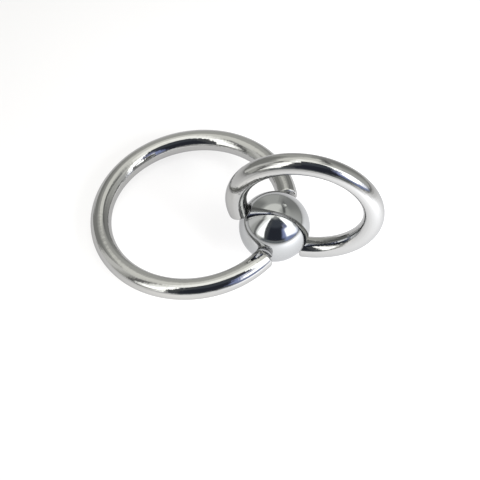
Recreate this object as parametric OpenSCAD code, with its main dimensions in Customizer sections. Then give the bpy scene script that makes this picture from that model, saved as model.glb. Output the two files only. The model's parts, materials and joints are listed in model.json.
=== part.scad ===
// Captive bead with two gapped wire rings, all in millimetres, Z up.
// The rings share one bead: each ring's two tips sit in a pair of dimples in it and turn there.
// The part stands on the plane Z = 0, on the far rim of the big ring and the lowest wire of the small one.
// The origin is on that plane, below the middle of the whole part.

/* [Bead] */
// Diameter of the bead
bead_d = 8; // [7:0.1:9]
// Depth of each dimple, from the bead's round surface down to the dimple's floor
dimple_depth = 0.35; // [0.32:0.01:0.42]
// Radius of the round cutter that leaves a dimple
dimple_r = 1.8; // [1.7:0.05:2.4]
// Angle between the two lines through opposite dimples
dimple_cross = 83; // [78:1:90]

/* [Wire] */
// Diameter of the wire of both rings
wire_d = 2.4; // [2.2:0.1:2.6]
// Radius of the round edge at a wire's tip
tip_round = 0.3; // [0.25:0.05:0.5]
// Running gap between a tip and the floor of its dimple
seat_gap = 0.05; // [0.03:0.01:0.1]

/* [Big ring] */
// Inside diameter of the big ring
big_inside_d = 19; // [17:0.1:24]
// How far the big ring's tips sit off the bead's middle, towards the middle of the ring
big_tip_offset = 0.72; // [0.4:0.02:0.8]

/* [Small ring] */
// Inside diameter of the small ring
small_inside_d = 13; // [12.4:0.1:15]
// How far the small ring's tips sit off the bead's middle, towards the middle of the ring
small_tip_offset = 0.1; // [0:0.01:0.3]
// Slope of the line from the bead up to the middle of the small ring, which stands upright
small_slope = 54.8; // [48:0.1:60]

/* [Hidden] */
$fn = 96;

// Wire, dimples and tips
wire_r = wire_d / 2;
bead_r = bead_d / 2;
dimple_reach = bead_r - dimple_depth + dimple_r;  // from the bead's middle to a dimple cutter's middle
tip_free_r = dimple_r - seat_gap - tip_round;     // from a dimple cutter's middle to a tip's rounding
tip_turned = 0.02;                                // how much thinner a tip is than the wire, on the radius
tip_r = wire_r - tip_turned;
tip_core = 0.3;                                   // how far a tip's straight core reaches back into the wire
tip_lap = 0.5;                                    // angle by which the bent wire stops short of a tip's round edge

// Where a ring's tips sit: distance along the dimples' line, half of the gap's angle at the ring's
// middle, and the distance from the bead's middle to the ring's middle
function tip_reach(offset) = dimple_reach - sqrt(pow(tip_free_r, 2) - pow(offset, 2));
function tip_circle(inside_d) = inside_d / 2 + tip_round;
function half_gap(inside_d, offset) = asin(tip_reach(offset) / tip_circle(inside_d));
function ring_reach(inside_d, offset) = offset + tip_circle(inside_d) * cos(half_gap(inside_d, offset));
function wire_circle(inside_d) = inside_d / 2 + wire_r;

big_circle = wire_circle(big_inside_d);
big_reach = ring_reach(big_inside_d, big_tip_offset);
small_circle = wire_circle(small_inside_d);
small_reach = ring_reach(small_inside_d, small_tip_offset);

// The resting pose: the small ring's plane is upright and holds the X axis, the big ring leans on its far rim
bead_height = max(bead_r, small_circle + wire_r - small_reach * sin(small_slope));
big_lean = asin((bead_height - wire_r) / (big_reach + big_circle));
big_heading = 90 + acos(cos(dimple_cross) / sin(small_slope));

// Middle of the part's box, seen from above, with the bead's middle at zero
big_normal = [sin(big_lean) * cos(big_heading), sin(big_lean) * sin(big_heading)];
big_middle = big_reach * cos(big_lean) * [cos(big_heading), sin(big_heading)];
big_half = [for (n = big_normal) big_circle * sqrt(1 - n * n) + wire_r];
small_middle_x = small_reach * cos(small_slope);
low_x = min(big_middle[0] - big_half[0], small_middle_x - small_circle - wire_r, -bead_r);
high_x = max(big_middle[0] + big_half[0], small_middle_x + small_circle + wire_r, bead_r);
low_y = min(big_middle[1] - big_half[1], -bead_r);
high_y = max(big_middle[1] + big_half[1], bead_r);
bead_middle = [-(low_x + high_x) / 2, -(low_y + high_y) / 2, bead_height];

// Turns its children from the bead's own frame so that +X runs to the big ring's middle
module along_big_ring() {
    rotate([0, big_lean, big_heading])
        children();
}

// Turns its children so that +X runs to the small ring's middle and +Y runs up through a dimple
module along_small_ring() {
    rotate([0, -small_slope, 0])
        rotate([90, 0, 0])
            children();
}

// Half section of a tip: a disc with a round edge in front of Y = 0, and its core behind
module tip_section() {
    flat_r = tip_r - tip_round;
    translate([0, -tip_core])
        square([tip_r, tip_core]);
    square([flat_r, tip_round]);
    intersection() {
        translate([flat_r, 0])
            circle(r = tip_round);
        translate([flat_r, 0])
            square(tip_round);
    }
}

// A wire ring in the XY plane, open at the bead, with the bead's middle at the origin
module gapped_ring(inside_d, offset) {
    end_angle = 180 - half_gap(inside_d, offset);
    translate([ring_reach(inside_d, offset), 0, 0]) {
        rotate([0, 0, tip_lap - end_angle])
            rotate_extrude(angle = 2 * (end_angle - tip_lap))
                translate([wire_circle(inside_d), 0])
                    circle(r = wire_r);
        for (side = [-1, 1])
            rotate([0, 0, side * end_angle])
                translate([wire_circle(inside_d), 0, 0])
                    rotate([-90 * side, 0, 0])
                        rotate_extrude()
                            tip_section();
    }
}

// Two opposite dimple cutters on the line that runs along Y
module dimple_pair() {
    for (side = [-1, 1])
        translate([0, side * dimple_reach, 0])
            sphere(r = dimple_r);
}

module big_ring() {
    color([0.72, 0.72, 0.71])
        translate(bead_middle)
            along_big_ring()
                gapped_ring(big_inside_d, big_tip_offset);
}

module small_ring() {
    color([0.66, 0.67, 0.68])
        translate(bead_middle)
            along_small_ring()
                gapped_ring(small_inside_d, small_tip_offset);
}

module bead() {
    color([0.58, 0.60, 0.62])
        translate(bead_middle)
            difference() {
                sphere(d = bead_d);
                along_big_ring()
                    dimple_pair();
                along_small_ring()
                    dimple_pair();
            }
}

big_ring();
small_ring();
bead();
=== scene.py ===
"""Captive bead ring of mirror-polished steel: a dimpled bead in the gaps of two wire rings.

Everything is in metres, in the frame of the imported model: Z up, the part standing on Z = 0.
"""

import json
import math

import bpy
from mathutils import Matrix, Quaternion, Vector


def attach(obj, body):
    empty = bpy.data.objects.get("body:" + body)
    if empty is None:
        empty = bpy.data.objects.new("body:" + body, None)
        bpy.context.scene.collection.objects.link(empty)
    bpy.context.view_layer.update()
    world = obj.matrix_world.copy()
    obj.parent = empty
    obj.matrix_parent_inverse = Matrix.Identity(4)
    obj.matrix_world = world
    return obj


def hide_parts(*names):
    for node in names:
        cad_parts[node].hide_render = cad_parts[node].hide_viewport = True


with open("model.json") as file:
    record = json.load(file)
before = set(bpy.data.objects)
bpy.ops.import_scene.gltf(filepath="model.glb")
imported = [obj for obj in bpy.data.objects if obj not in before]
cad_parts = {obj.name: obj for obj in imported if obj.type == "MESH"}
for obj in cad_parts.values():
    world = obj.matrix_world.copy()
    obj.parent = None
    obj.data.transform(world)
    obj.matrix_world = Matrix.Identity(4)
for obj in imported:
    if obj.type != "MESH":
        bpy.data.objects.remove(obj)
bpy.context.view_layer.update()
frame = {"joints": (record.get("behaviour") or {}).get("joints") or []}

MM = 0.001

# Driving sizes, the same as the part's
BEAD_R = 4.0 * MM
DIMPLE_DEPTH = 0.35 * MM
DIMPLE_R = 1.8 * MM
WIRE_R = 1.2 * MM
TIP_ROUND = 0.3 * MM
SEAT_GAP = 0.05 * MM
BIG_INSIDE_R = 9.5 * MM
BIG_TIP_OFFSET = 0.72 * MM
SMALL_INSIDE_R = 6.5 * MM
SMALL_TIP_OFFSET = 0.1 * MM
SMALL_SLOPE = math.radians(54.8)

DIMPLE_REACH = BEAD_R - DIMPLE_DEPTH + DIMPLE_R
HINGES = {joint["name"]: joint for joint in frame["joints"]}
BEAD_MIDDLE = Vector(HINGES["bead_turn"]["pos_m"])
BIG_LINE = Vector(HINGES["bead_turn"]["axis"]).normalized()
SMALL_LINE = Vector(HINGES["small_ring_swing"]["axis"]).normalized()

# One small nick in the bead near its top, measured from the bead's middle
NICK_PLACE = BEAD_R * Vector((0.235, 0.072, 0.969))
NICK_R = 0.30 * MM
NICK_DEPTH = 0.09 * MM

# How finely the polished pieces are meshed. The snap is an angle at the bead's middle: points that are
# nearer than that to a dimple's rim are moved onto it.
STEPS_ALONG = 400
STEPS_AROUND = 96
TIP_STEPS = 12
BEAD_SUBDIVISIONS = 7
RIM_SNAP = 0.011

# The steels: their colour, the tint of their brighter edges, and how rough their polish is
RING_COLOUR = (0.430, 0.429, 0.424)
RING_EDGE_TINT = (0.72, 0.72, 0.73)
RING_ROUGHNESS = 0.04
BEAD_COLOUR = (0.422, 0.430, 0.435)
BEAD_EDGE_TINT = (0.80, 0.80, 0.81)
BEAD_ROUGHNESS = 0.07

# The polish's haze: the size and fineness of its spots, the part of the noise that shows, and how much
# it roughens
HAZE_SPOT = 2.5 * MM
HAZE_DETAIL = 4.0
HAZE_SPAN = (0.35, 0.75)
HAZE_SHARE = 0.6

# Relief of the wire: its detail around the wire, its wave length along the wire, and its height
DRAWING_LINES = (5.0, 14.0 * MM, 0.026 * MM)
RIPPLES = (2.2, 0.45 * MM, 0.011 * MM)

# Dents of handling in the bead
DENT_SIZE = 0.9 * MM
DENT_HEIGHT = 0.0012 * MM

# How fine the noise in both reliefs is
RELIEF_DETAIL = 2.0

# A Mix node's sockets for vectors and for colours, by number because they share their names: its two
# inputs and its output
MIX_SOCKETS = {"VECTOR": (4, 5, 1), "RGBA": (6, 7, 2)}


class Nodes:
    """Adds nodes to one tree. An input is a plain value or another node's output."""

    def __init__(self, tree):
        self.tree = tree

    def add(self, kind, inputs=None, **settings):
        made = self.tree.nodes.new(kind)
        for name, value in settings.items():
            setattr(made, name, value)
        for key, value in (inputs or {}).items():
            if isinstance(value, bpy.types.NodeSocket):
                self.tree.links.new(value, made.inputs[key])
            else:
                made.inputs[key].default_value = value
        return made

    def math(self, operation, a, b=0.0, clamp=False):
        made = self.add("ShaderNodeMath", {0: a, 1: b}, operation=operation, use_clamp=clamp)
        return made.outputs[0]

    def vector(self, operation, a, b=(0.0, 0.0, 0.0)):
        made = self.add("ShaderNodeVectorMath", {0: a, 1: b}, operation=operation)
        return made.outputs["Value" if operation in ("DOT_PRODUCT", "LENGTH") else "Vector"]

    def scaled(self, a, factor):
        made = self.add("ShaderNodeVectorMath", {0: a, "Scale": factor}, operation="SCALE")
        return made.outputs["Vector"]

    def total(self, first, *others):
        for other in others:
            first = self.math("ADD", first, other)
        return first

    def product(self, first, *others):
        for other in others:
            first = self.math("MULTIPLY", first, other)
        return first

    def noise(self, place, scale, detail):
        inputs = {"Vector": place, "Scale": scale, "Detail": detail}
        return self.add("ShaderNodeTexNoise", inputs).outputs["Fac"]

    def apart(self, a, b):
        """The distance between two places."""
        return self.vector("LENGTH", self.vector("SUBTRACT", a, b))

    def step(self, value, start, end):
        """Rises smoothly from 0 at start to 1 at end."""
        made = self.add(
            "ShaderNodeMapRange",
            {"Value": value, "From Min": start, "From Max": end},
            interpolation_type="SMOOTHSTEP",
        )
        return made.outputs["Result"]

    def between(self, value, span, soft):
        """1 within a span that has soft ends, and 0 outside it."""
        rise = self.step(self.math("SUBTRACT", value, span[0]), -soft, soft)
        fall = self.step(self.math("SUBTRACT", value, span[1]), soft, -soft)
        return self.product(rise, fall)

    def mix(self, kind, factor, a, b, label=""):
        """The first vector or colour where the factor is 0, and the second where it is 1."""
        first, second, result = MIX_SOCKETS[kind]
        inputs = {"Factor": factor, first: a, second: b}
        return self.add("ShaderNodeMix", inputs, data_type=kind, label=label).outputs[result]

    def remember(self, geometry, name, kind, value):
        """Stores a value on the geometry's points, for the finish to read."""
        made = self.add(
            "GeometryNodeStoreNamedAttribute",
            {"Geometry": geometry, "Name": name},
            data_type=kind,
        )
        self.tree.links.new(value, made.inputs["Value"])
        return made.outputs[0]


def geometry_tree(name, sockets):
    """A new Geometry Nodes tree with named inputs: its nodes, and its inputs by name."""
    tree = bpy.data.node_groups.new(name, "GeometryNodeTree")
    for socket_name, kind in sockets:
        tree.interface.new_socket(name=socket_name, in_out="INPUT", socket_type="NodeSocket" + kind)
    tree.interface.new_socket(name="Geometry", in_out="OUTPUT", socket_type="NodeSocketGeometry")
    nodes = Nodes(tree)
    return nodes, nodes.add("NodeGroupInput").outputs


def close_tree(nodes, geometry, finish):
    """Ends a tree: smooth shading, real instances, the finish, the output."""
    smooth = nodes.add("GeometryNodeSetShadeSmooth", {"Geometry": geometry}).outputs[0]
    real = nodes.add("GeometryNodeRealizeInstances", {0: smooth}).outputs[0]
    finished = nodes.add("GeometryNodeSetMaterial", {"Geometry": real, "Material": finish})
    nodes.add("NodeGroupOutput", {"Geometry": finished.outputs[0]})


def grown(name, nodes, values):
    """A plain mesh object grown by a tree from the given input values."""
    seed = bpy.data.objects.new(name + "_seed", bpy.data.meshes.new(name + "_seed"))
    bpy.context.scene.collection.objects.link(seed)
    modifier = seed.modifiers.new("grow", "NODES")
    modifier.node_group = nodes.tree
    for item in nodes.tree.interface.items_tree:
        if item.in_out == "INPUT":
            modifier[item.identifier] = values[item.name]
    bpy.context.view_layer.update()
    evaluated = seed.evaluated_get(bpy.context.evaluated_depsgraph_get())
    mesh = bpy.data.meshes.new_from_object(evaluated)
    mesh.name = name
    bpy.data.objects.remove(seed)
    piece = bpy.data.objects.new(name, mesh)
    bpy.context.scene.collection.objects.link(piece)
    return piece


def run_of_wire(nodes, given):
    """The points along a gapped ring: how many, where each one lies, and the wire's radius there.

    They run through a tip's rounding, the bent wire, and the other tip's rounding. The bead's middle is
    at the origin and the ring's middle on +X.
    """
    along, tips = given["Steps along"], given["Tip steps"]
    count = nodes.total(along, nodes.product(tips, 2.0), 1.0)
    index = nodes.add("GeometryNodeInputIndex").outputs[0]
    past_tip = nodes.math("SUBTRACT", index, tips)
    before_wire = nodes.math("SUBTRACT", tips, index)
    past_wire = nodes.math("SUBTRACT", past_tip, along)

    share = nodes.math("DIVIDE", past_tip, along, clamp=True)
    sweep = nodes.math("SUBTRACT", 2.0 * math.pi, nodes.product(given["Half gap"], 2.0))
    angle = nodes.total(given["Half gap"], nodes.product(share, sweep))
    cosine = nodes.math("COSINE", angle)
    sine = nodes.math("SINE", angle)

    quarter = math.pi / 2.0
    first = nodes.product(nodes.math("DIVIDE", before_wire, tips, clamp=True), quarter)
    last = nodes.product(nodes.math("DIVIDE", past_wire, tips, clamp=True), quarter)
    ahead = nodes.math("SUBTRACT", nodes.math("SINE", last), nodes.math("SINE", first))
    ahead = nodes.product(ahead, given["Tip round"])
    full = nodes.product(nodes.math("COSINE", first), nodes.math("COSINE", last))
    shrink = nodes.product(nodes.math("SUBTRACT", 1.0, full), given["Tip round"])
    radius = nodes.math("SUBTRACT", given["Wire radius"], shrink)

    x = nodes.math("SUBTRACT", given["Reach"], nodes.product(given["Wire circle"], cosine))
    x = nodes.total(x, nodes.product(ahead, sine))
    y = nodes.total(nodes.product(given["Wire circle"], sine), nodes.product(ahead, cosine))
    place = nodes.add("ShaderNodeCombineXYZ", {"X": x, "Y": y}).outputs[0]
    return count, place, radius


def wire_ring_tree():
    """A gapped ring of round wire whose tips have a rounded edge, turned and moved to the bead."""
    nodes, given = geometry_tree(
        "gapped wire ring",
        [
            ("Wire circle", "Float"),
            ("Wire radius", "Float"),
            ("Reach", "Float"),
            ("Half gap", "Float"),
            ("Tip round", "Float"),
            ("Steps along", "Int"),
            ("Steps around", "Int"),
            ("Tip steps", "Int"),
            ("Turn", "Vector"),
            ("Bead middle", "Vector"),
            ("Finish", "Material"),
        ],
    )
    count, place, radius = run_of_wire(nodes, given)
    line = nodes.add("GeometryNodeMeshLine", {"Count": count}).outputs[0]
    points = nodes.add("GeometryNodeMeshToCurve", {"Mesh": line}).outputs[0]
    path = nodes.add("GeometryNodeSetPosition", {"Geometry": points, "Position": place}).outputs[0]
    path = nodes.add("GeometryNodeSetCurveNormal", {"Curve": path}, mode="Z_UP").outputs[0]
    travelled = nodes.add("GeometryNodeSplineParameter").outputs["Length"]
    path = nodes.remember(path, "along", "FLOAT", travelled)

    section = nodes.add(
        "GeometryNodeCurvePrimitiveCircle",
        {"Resolution": given["Steps around"], "Radius": 1.0},
    ).outputs["Curve"]
    edge = nodes.add("GeometryNodeInputPosition").outputs[0]
    section = nodes.remember(section, "section", "FLOAT_VECTOR", edge)

    wire = nodes.add(
        "GeometryNodeCurveToMesh",
        {"Curve": path, "Profile Curve": section, "Scale": radius, "Fill Caps": True},
    ).outputs[0]
    turned = nodes.add(
        "GeometryNodeTransform",
        {"Geometry": wire, "Rotation": given["Turn"], "Translation": given["Bead middle"]},
    ).outputs[0]
    close_tree(nodes, turned, given["Finish"])
    return nodes


def sink_dimple(nodes, geometry, given, direction):
    """Presses one round dimple into a ball around the origin.

    Points that lie close to the rim are moved onto it, so that the rim is a clean circle.
    """
    here = nodes.add("GeometryNodeInputPosition").outputs[0]
    unit = nodes.vector("NORMALIZE", here)
    cosine = nodes.vector("DOT_PRODUCT", unit, direction)
    angle = nodes.math("ARCCOSINE", nodes.math("MINIMUM", cosine, 1.0))

    bead, reach, cutter = given["Bead radius"], given["Dimple reach"], given["Dimple radius"]
    squares = nodes.total(nodes.product(bead, bead), nodes.product(reach, reach))
    squares = nodes.math("SUBTRACT", squares, nodes.product(cutter, cutter))
    rim_cosine = nodes.math("DIVIDE", squares, nodes.product(bead, reach, 2.0))
    rim = nodes.math("ARCCOSINE", rim_cosine)

    off_rim = nodes.math("ABSOLUTE", nodes.math("SUBTRACT", angle, rim))
    near_rim = nodes.math("LESS_THAN", off_rim, given["Rim snap"])
    inside = nodes.math("LESS_THAN", angle, nodes.total(rim, given["Rim snap"]))
    sideways = nodes.vector("SUBTRACT", unit, nodes.scaled(direction, cosine))
    sideways = nodes.vector("NORMALIZE", sideways)
    on_rim = nodes.vector(
        "ADD",
        nodes.scaled(direction, rim_cosine),
        nodes.scaled(sideways, nodes.math("SINE", rim)),
    )
    snapped = nodes.mix("VECTOR", near_rim, unit, on_rim)

    ahead = nodes.product(reach, nodes.vector("DOT_PRODUCT", snapped, direction))
    beside = nodes.math("SUBTRACT", nodes.product(reach, reach), nodes.product(ahead, ahead))
    depth = nodes.math("SUBTRACT", nodes.product(cutter, cutter), beside)
    depth = nodes.math("SQRT", nodes.math("MAXIMUM", depth, 0.0))
    floor = nodes.math("MINIMUM", nodes.math("SUBTRACT", ahead, depth), bead)
    return nodes.add(
        "GeometryNodeSetPosition",
        {"Geometry": geometry, "Selection": inside, "Position": nodes.scaled(snapped, floor)},
    ).outputs[0]


def press_nick(nodes, geometry, given):
    """Presses one small round nick with soft sides into a ball around the origin."""
    here = nodes.add("GeometryNodeInputPosition").outputs[0]
    share = nodes.step(nodes.apart(here, given["Nick place"]), given["Nick radius"], 0.0)
    depth = nodes.product(share, given["Nick depth"], -1.0)
    inwards = nodes.scaled(nodes.vector("NORMALIZE", here), depth)
    pressed = nodes.add("GeometryNodeSetPosition", {"Geometry": geometry, "Offset": inwards})
    return pressed.outputs[0]


def bead_tree():
    """A round bead with a nick and two pairs of opposite dimples, on two lines through its middle."""
    nodes, given = geometry_tree(
        "dimpled bead",
        [
            ("Bead radius", "Float"),
            ("Dimple reach", "Float"),
            ("Dimple radius", "Float"),
            ("Rim snap", "Float"),
            ("First line", "Vector"),
            ("Second line", "Vector"),
            ("Nick place", "Vector"),
            ("Nick radius", "Float"),
            ("Nick depth", "Float"),
            ("Subdivisions", "Int"),
            ("Bead middle", "Vector"),
            ("Finish", "Material"),
        ],
    )
    ball = nodes.add(
        "GeometryNodeMeshIcoSphere",
        {"Radius": given["Bead radius"], "Subdivisions": given["Subdivisions"]},
    ).outputs["Mesh"]
    for line in (given["First line"], given["Second line"]):
        for side in (-1.0, 1.0):
            ball = sink_dimple(nodes, ball, given, nodes.scaled(line, side))
    ball = press_nick(nodes, ball, given)
    moved = nodes.add(
        "GeometryNodeTransform",
        {"Geometry": ball, "Translation": given["Bead middle"]},
    ).outputs[0]
    close_tree(nodes, moved, given["Finish"])
    return nodes


def steel(name, colour, edge_tint, roughness):
    """Bare steel with a mirror polish that is a little hazier in some places than in others."""
    material = bpy.data.materials.new(name)
    material.use_nodes = True
    nodes = Nodes(material.node_tree)
    shader = material.node_tree.nodes["Principled BSDF"]
    shader.inputs["Base Color"].default_value = (*colour, 1.0)
    shader.inputs["Metallic"].default_value = 1.0
    shader.inputs["Specular Tint"].default_value = (*edge_tint, 1.0)

    place = nodes.add("ShaderNodeTexCoord").outputs["Object"]
    haze = nodes.step(nodes.noise(place, 1.0 / HAZE_SPOT, HAZE_DETAIL), *HAZE_SPAN)
    rough = nodes.total(roughness, nodes.product(haze, HAZE_SHARE * roughness))
    nodes.tree.links.new(rough, shader.inputs["Roughness"])
    return material, nodes, place


def raise_relief(nodes, height):
    """Gives a steel its fine relief. The height is in millimetres."""
    shader = nodes.tree.nodes["Principled BSDF"]
    bump = nodes.add("ShaderNodeBump", {"Height": height, "Strength": 1.0, "Distance": MM})
    nodes.tree.links.new(bump.outputs["Normal"], shader.inputs["Normal"])


def wire_relief(nodes, detail_around, wave_length, height):
    """One layer of the wire's relief, in millimetres, that follows the wire around its bend."""
    section = nodes.add("ShaderNodeAttribute", attribute_name="section").outputs["Vector"]
    along = nodes.add("ShaderNodeAttribute", attribute_name="along").outputs["Fac"]
    ahead = nodes.add("ShaderNodeCombineXYZ", {"Z": nodes.product(along, 1.0 / wave_length)})
    where = nodes.vector("ADD", nodes.scaled(section, detail_around), ahead.outputs[0])
    return nodes.product(nodes.noise(where, 1.0, RELIEF_DETAIL), height / MM)


def drawn_steel():
    """Drawn and bent wire, polished: fine lines along it and slight ripples across it."""
    material, nodes, _ = steel("ring_steel", RING_COLOUR, RING_EDGE_TINT, RING_ROUGHNESS)
    lines = wire_relief(nodes, *DRAWING_LINES)
    ripples = wire_relief(nodes, *RIPPLES)
    raise_relief(nodes, nodes.total(lines, ripples))
    return material


def tumbled_steel():
    """A tumbled bead: softer than the rings' polish, with faint dents of handling."""
    material, nodes, place = steel("bead_steel", BEAD_COLOUR, BEAD_EDGE_TINT, BEAD_ROUGHNESS)
    swell = nodes.noise(place, 1.0 / DENT_SIZE, RELIEF_DETAIL)
    raise_relief(nodes, nodes.product(swell, DENT_HEIGHT / MM))
    return material


def seated(inside_r, offset):
    """Half the gap's angle and the ring's reach from the bead, where its tips sit in the dimples."""
    tip_free_r = DIMPLE_R - SEAT_GAP - TIP_ROUND
    tip_reach = DIMPLE_REACH - math.sqrt(tip_free_r**2 - offset**2)
    half_gap = math.asin(tip_reach / (inside_r + TIP_ROUND))
    return half_gap, offset + (inside_r + TIP_ROUND) * math.cos(half_gap)


def lean_of_big_ring():
    """The big ring leans from the bead down to its far rim, which lies on the surface."""
    reach = seated(BIG_INSIDE_R, BIG_TIP_OFFSET)[1]
    return math.asin((BEAD_MIDDLE.z - WIRE_R) / (reach + BIG_INSIDE_R + WIRE_R))


def polished_ring(name, tree, finish, inside_r, offset, turn):
    """One polished ring, turned as its CAD node is."""
    half_gap, reach = seated(inside_r, offset)
    return grown(
        name,
        tree,
        {
            "Wire circle": inside_r + WIRE_R,
            "Wire radius": WIRE_R,
            "Reach": reach,
            "Half gap": half_gap,
            "Tip round": TIP_ROUND,
            "Steps along": STEPS_ALONG,
            "Steps around": STEPS_AROUND,
            "Tip steps": TIP_STEPS,
            "Turn": turn,
            "Bead middle": BEAD_MIDDLE,
            "Finish": finish,
        },
    )


def polished_bead():
    """The bead, with its dimples on both rings' lines."""
    return grown(
        "polished_bead",
        bead_tree(),
        {
            "Bead radius": BEAD_R,
            "Dimple reach": DIMPLE_REACH,
            "Dimple radius": DIMPLE_R,
            "Rim snap": RIM_SNAP,
            "First line": BIG_LINE,
            "Second line": SMALL_LINE,
            "Nick place": NICK_PLACE,
            "Nick radius": NICK_R,
            "Nick depth": NICK_DEPTH,
            "Subdivisions": BEAD_SUBDIVISIONS,
            "Bead middle": BEAD_MIDDLE,
            "Finish": tumbled_steel(),
        },
    )


ring_tree = wire_ring_tree()
ring_finish = drawn_steel()
BIG_TURN = (0.0, lean_of_big_ring(), math.atan2(BIG_LINE.x, -BIG_LINE.y))
SMALL_TURN = (math.pi / 2.0, -SMALL_SLOPE, 0.0)
big_ring = polished_ring(
    "polished_big_ring", ring_tree, ring_finish, BIG_INSIDE_R, BIG_TIP_OFFSET, BIG_TURN
)
small_ring = polished_ring(
    "polished_small_ring", ring_tree, ring_finish, SMALL_INSIDE_R, SMALL_TIP_OFFSET, SMALL_TURN
)
bead = polished_bead()
for piece, body, node, slot in (
    (big_ring, "root", "big_ring", "ring_steel"),
    (small_ring, "small_ring_body", "small_ring", "ring_steel"),
    (bead, "bead_body", "bead", "bead_steel"),
):
    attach(piece, body)
    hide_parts(node)


# The camera, from the photograph: it looks down at the bead from the front
PHOTO_WIDTH_PX = 480.0
FOCAL_PX = 2346.0
CAMERA_FROM = Vector((18.42, -152.76, 219.5)) * MM
CAMERA_AIM = Vector((0.961, -3.881, 4.327)) * MM
CAMERA_ROLL = math.radians(-2.28)
SENSOR_MM = 36.0
NEAREST_SEEN = 0.01
FARTHEST_SEEN = 20.0


def photo_camera():
    """The camera at the photograph's place, with the photograph's frame."""
    data = bpy.data.cameras.new("photo_camera")
    data.sensor_width = SENSOR_MM
    data.lens = FOCAL_PX / PHOTO_WIDTH_PX * SENSOR_MM
    data.clip_start = NEAREST_SEEN
    data.clip_end = FARTHEST_SEEN
    camera = bpy.data.objects.new("photo_camera", data)
    bpy.context.scene.collection.objects.link(camera)
    forward = (CAMERA_AIM - CAMERA_FROM).normalized()
    camera.rotation_mode = "QUATERNION"
    camera.rotation_quaternion = Quaternion(forward, CAMERA_ROLL) @ forward.to_track_quat("-Z", "Y")
    camera.location = CAMERA_FROM
    bpy.context.scene.camera = camera


# The table top: a matt white disc that gives light of its own, in wide pools of painted light, with
# painted shade inside the big ring and before its far rim. Each pool has its middle, its half-width, how
# steeply it falls off, and its brightness, which is below zero in a painted shade.
TABLE_R = 0.6
TABLE_SIDES = 96
TABLE_COLOUR = (0.18, 0.18, 0.181)
TABLE_ROUGHNESS = 0.9
TABLE_SHINE = 0.2
PAINTED_LIGHT_AND_SHADE = (
    ("wide pool", (0.0, 0.0), 120.0 * MM, 1.0, (0.695, 0.687, 0.678)),
    ("painted shade in the rings", (-1.0 * MM, -0.5 * MM), 9.5 * MM, 2.0, (-0.17, -0.17, -0.165)),
    ("painted shade before the far rim", (-8.5 * MM, 8.8 * MM), 5.0 * MM, 2.0, (-0.105, -0.105, -0.10)),
    ("right pool", (32.0 * MM, -19.0 * MM), 28.0 * MM, 2.0, (1.70, 1.73, 1.81)),
    ("front pool", (-6.0 * MM, -18.0 * MM), 14.0 * MM, 3.0, (0.38, 0.365, 0.33)),
)


def white_floor():
    """A large round table top of matt white. Its own glow is painted light, brightest in front on the
    right, with painted shade inside the big ring and before its far rim.
    """
    bpy.ops.mesh.primitive_circle_add(
        vertices=TABLE_SIDES, radius=TABLE_R, fill_type="NGON", location=(0.0, 0.0, 0.0)
    )
    floor = bpy.context.object
    floor.name = "studio_floor"
    paint = bpy.data.materials.new("floor_white")
    paint.use_nodes = True
    nodes = Nodes(paint.node_tree)
    shader = paint.node_tree.nodes["Principled BSDF"]
    shader.inputs["Base Color"].default_value = (*TABLE_COLOUR, 1.0)
    shader.inputs["Roughness"].default_value = TABLE_ROUGHNESS
    shader.inputs["Specular IOR Level"].default_value = TABLE_SHINE
    shader.inputs["Emission Strength"].default_value = 1.0

    place = nodes.add("ShaderNodeTexCoord").outputs["Object"]
    glow = (0.0, 0.0, 0.0)
    # The table's emission is painted light and painted shade: each pool adds glow and each shade takes
    # glow away
    for label, middle, half_width, steepness, shade in PAINTED_LIGHT_AND_SHADE:
        off = nodes.product(nodes.apart(place, (*middle, 0.0)), 1.0 / half_width)
        falloff = nodes.math("POWER", nodes.total(nodes.product(off, off), 1.0), -steepness)
        falloff.node.label = label
        glow = nodes.vector("ADD", nodes.scaled(shade, falloff), glow)
    nodes.tree.links.new(glow, shader.inputs["Emission Color"])
    floor.data.materials.append(paint)


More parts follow.
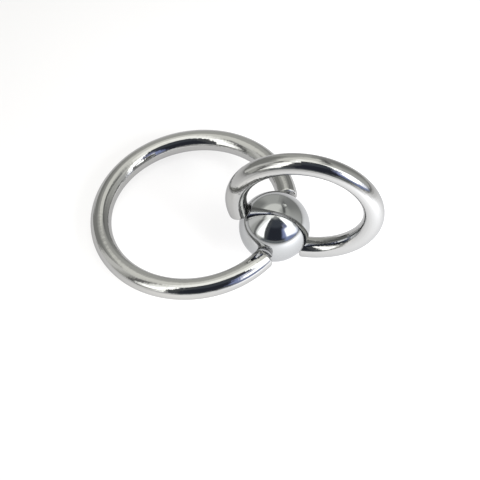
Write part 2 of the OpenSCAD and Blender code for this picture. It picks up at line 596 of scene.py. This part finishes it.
# The room as the steel mirrors it. Each patch is a soft-edged part of the room in degrees: from and to
# around the object, where 0 is the front and 90 the right, from and to in height, the softness of its
# edges around and in height, how far its two sides lean to the right for each degree above LEAN_FROM,
# and its brightness. A later patch covers an earlier one.
LEAN_FROM = 30.0
ROOM = (0.70, 0.705, 0.665)
PATCHES = (
    ("upper wall", (-200, 200), (46, 120), (1, 4), (0.0, 0.0), (1.24, 1.24, 1.16)),
    ("ceiling", (-200, 200), (75, 120), (1, 5), (0.0, 0.0), (1.85, 1.85, 1.74)),
    ("ceiling, left", (-140, -60), (69, 84), (14, 5), (0.0, 0.0), (1.95, 1.95, 1.85)),
    ("upper wall, right", (110, 156), (42, 70), (12, 5), (0.0, 0.0), (0.72, 0.73, 0.69)),
    ("back wall, left", (-147, -93), (-20, 38), (10, 8), (0.0, 0.0), (0.39, 0.395, 0.375)),
    ("light doorway", (-97, -77), (-20, 54), (6, 8), (0.0, 0.0), (1.04, 1.04, 1.00)),
    ("side wall edge", (-68, -57), (-20, 55), (4, 6), (-0.3, -0.3), (0.24, 0.24, 0.235)),
    ("right wall", (84, 111), (-20, 50), (16, 10), (0.0, 0.0), (0.78, 0.79, 0.77)),
    ("back wall, right", (128, 176), (-20, 40), (20, 8), (0.0, 0.0), (0.40, 0.405, 0.39)),
    ("left light, rim", (-57, -44), (7, 70), (4, 6), (-0.15, 0.0), (1.75, 1.76, 1.70)),
    ("left light, top", (-98, -34), (65, 79), (12, 5), (0.0, 0.0), (1.95, 1.96, 1.88)),
    ("dark front", (-30, 46), (5, 77), (4, 4), (0.0, 0.0), (0.040, 0.045, 0.060)),
    ("upper front", (-36, 68), (74, 90), (14, 5), (0.0, 0.0), (0.50, 0.51, 0.50)),
    ("dark front, top", (-29, 66), (50, 78), (3, 5), (-0.35, 0.0), (0.088, 0.100, 0.120)),
    ("dark front, left", (-32, -15), (5, 76), (4, 5), (0.0, 0.0), (0.120, 0.128, 0.136)),
    ("far end of the table", (-34, 96), (-10, 5), (5, 4), (0.0, 0.0), (0.20, 0.225, 0.24)),
    ("table, right", (52, 84), (-10, 6), (6, 4), (0.0, 0.0), (0.85, 0.90, 1.00)),
    ("left light", (-48, -30.5), (9, 72), (3, 5), (0.0, -0.26), (3.1, 3.12, 3.0)),
    ("blue glow over right light", (47, 66), (34, 54), (5, 8), (0.0, 0.0), (0.27, 0.30, 0.52)),
    ("blue edge of right light", (35.5, 56), (12, 42), (5, 5), (0.2, 0.0), (0.44, 0.51, 0.86)),
    ("blue foot of right light", (40, 84), (-3, 15), (6, 5), (0.0, 0.0), (0.40, 0.48, 0.78)),
    ("right light, foot", (16, 86), (2, 15), (7, 4), (-2.3, 0.0), (2.2, 2.25, 2.45)),
    ("right light, lower", (47.5, 84), (13, 38), (5, 4), (0.0, 0.0), (3.4, 3.45, 3.5)),
    ("right light, upper", (65.5, 88), (30, 73), (3, 5), (0.0, 0.0), (3.0, 3.05, 3.0)),
)
# Dark frames of an opening on each side: towards around and height, the radius and half the width, the
# part of the room around that they stand in, all in degrees, and the brightness.
ARCHES = (
    ("left opening", (-112, 14), 48, 3, (-90, -72), (0.34, 0.34, 0.33)),
    ("right opening", (106, -12), 73, 4, (120, 166), (0.18, 0.185, 0.18)),
)
# How soft an arch is: its edges, as a share of half its width, and its ends, in degrees
ARCH_EDGE_SHARE = 0.8
ARCH_END_SOFT = 10.0


def towards(around, height):
    """The direction at these degrees around the object and up."""
    around, height = math.radians(around), math.radians(height)
    return (
        math.sin(around) * math.cos(height),
        -math.cos(around) * math.cos(height),
        math.sin(height),
    )


def studio_world():
    """The room that the steel mirrors: grey walls, a dark front, and a soft light on each side of it."""
    world = bpy.data.worlds.new("studio")
    bpy.context.scene.world = world
    world.use_nodes = True
    nodes = Nodes(world.node_tree)
    way = nodes.add("ShaderNodeTexCoord").outputs["Generated"]
    x, y, z = nodes.add("ShaderNodeSeparateXYZ", {0: way}).outputs
    around = nodes.math("ARCTAN2", x, nodes.product(y, -1.0))
    around = nodes.product(around, math.degrees(1.0))
    height = nodes.product(nodes.math("ARCSINE", z), math.degrees(1.0))
    above = nodes.math("SUBTRACT", height, LEAN_FROM)

    colour = (*ROOM, 1.0)
    for label, turn, rise, soft, lean, shade in PATCHES:
        sides = [nodes.total(edge, nodes.product(above, slope)) for edge, slope in zip(turn, lean)]
        inside = nodes.between(around, sides, soft[0])
        inside = nodes.product(inside, nodes.between(height, rise, soft[1]))
        colour = nodes.mix("RGBA", inside, colour, (*shade, 1.0), label)
    for label, middle, radius, half, span, shade in ARCHES:
        off = nodes.math("ARCCOSINE", nodes.vector("DOT_PRODUCT", way, towards(*middle)))
        off = nodes.product(off, math.degrees(1.0))
        inside = nodes.between(off, (radius - half, radius + half), ARCH_EDGE_SHARE * half)
        inside = nodes.product(inside, nodes.between(around, span, ARCH_END_SOFT))
        colour = nodes.mix("RGBA", inside, colour, (*shade, 1.0), label)
    background = world.node_tree.nodes["Background"]
    nodes.tree.links.new(colour, background.inputs["Color"])
    background.inputs["Strength"].default_value = 1.0


# Soft lamps over the table: where each one is, how wide it is, and its power in watts
LAMPS = (
    ("right_lamp", (0.11, -0.045, 0.085), 0.07, 0.27),
    ("top_lamp", (0.0, -0.12, 0.35), 0.30, 0.65),
)


def soft_lamp(name, place, width, power):
    """A round soft lamp aimed at the object. It lights the table, and the steel doesn't mirror it."""
    data = bpy.data.lights.new(name, "AREA")
    data.shape = "DISK"
    data.size = width
    data.energy = power
    lamp = bpy.data.objects.new(name, data)
    bpy.context.scene.collection.objects.link(lamp)
    lamp.location = place
    lamp.rotation_mode = "QUATERNION"
    lamp.rotation_quaternion = (-Vector(place)).to_track_quat("-Z", "Y")
    lamp.visible_glossy = False
    lamp.visible_camera = False


photo_camera()
white_floor()
studio_world()
for lamp in LAMPS:
    soft_lamp(*lamp)
bpy.context.scene.view_settings.view_transform = "Standard"
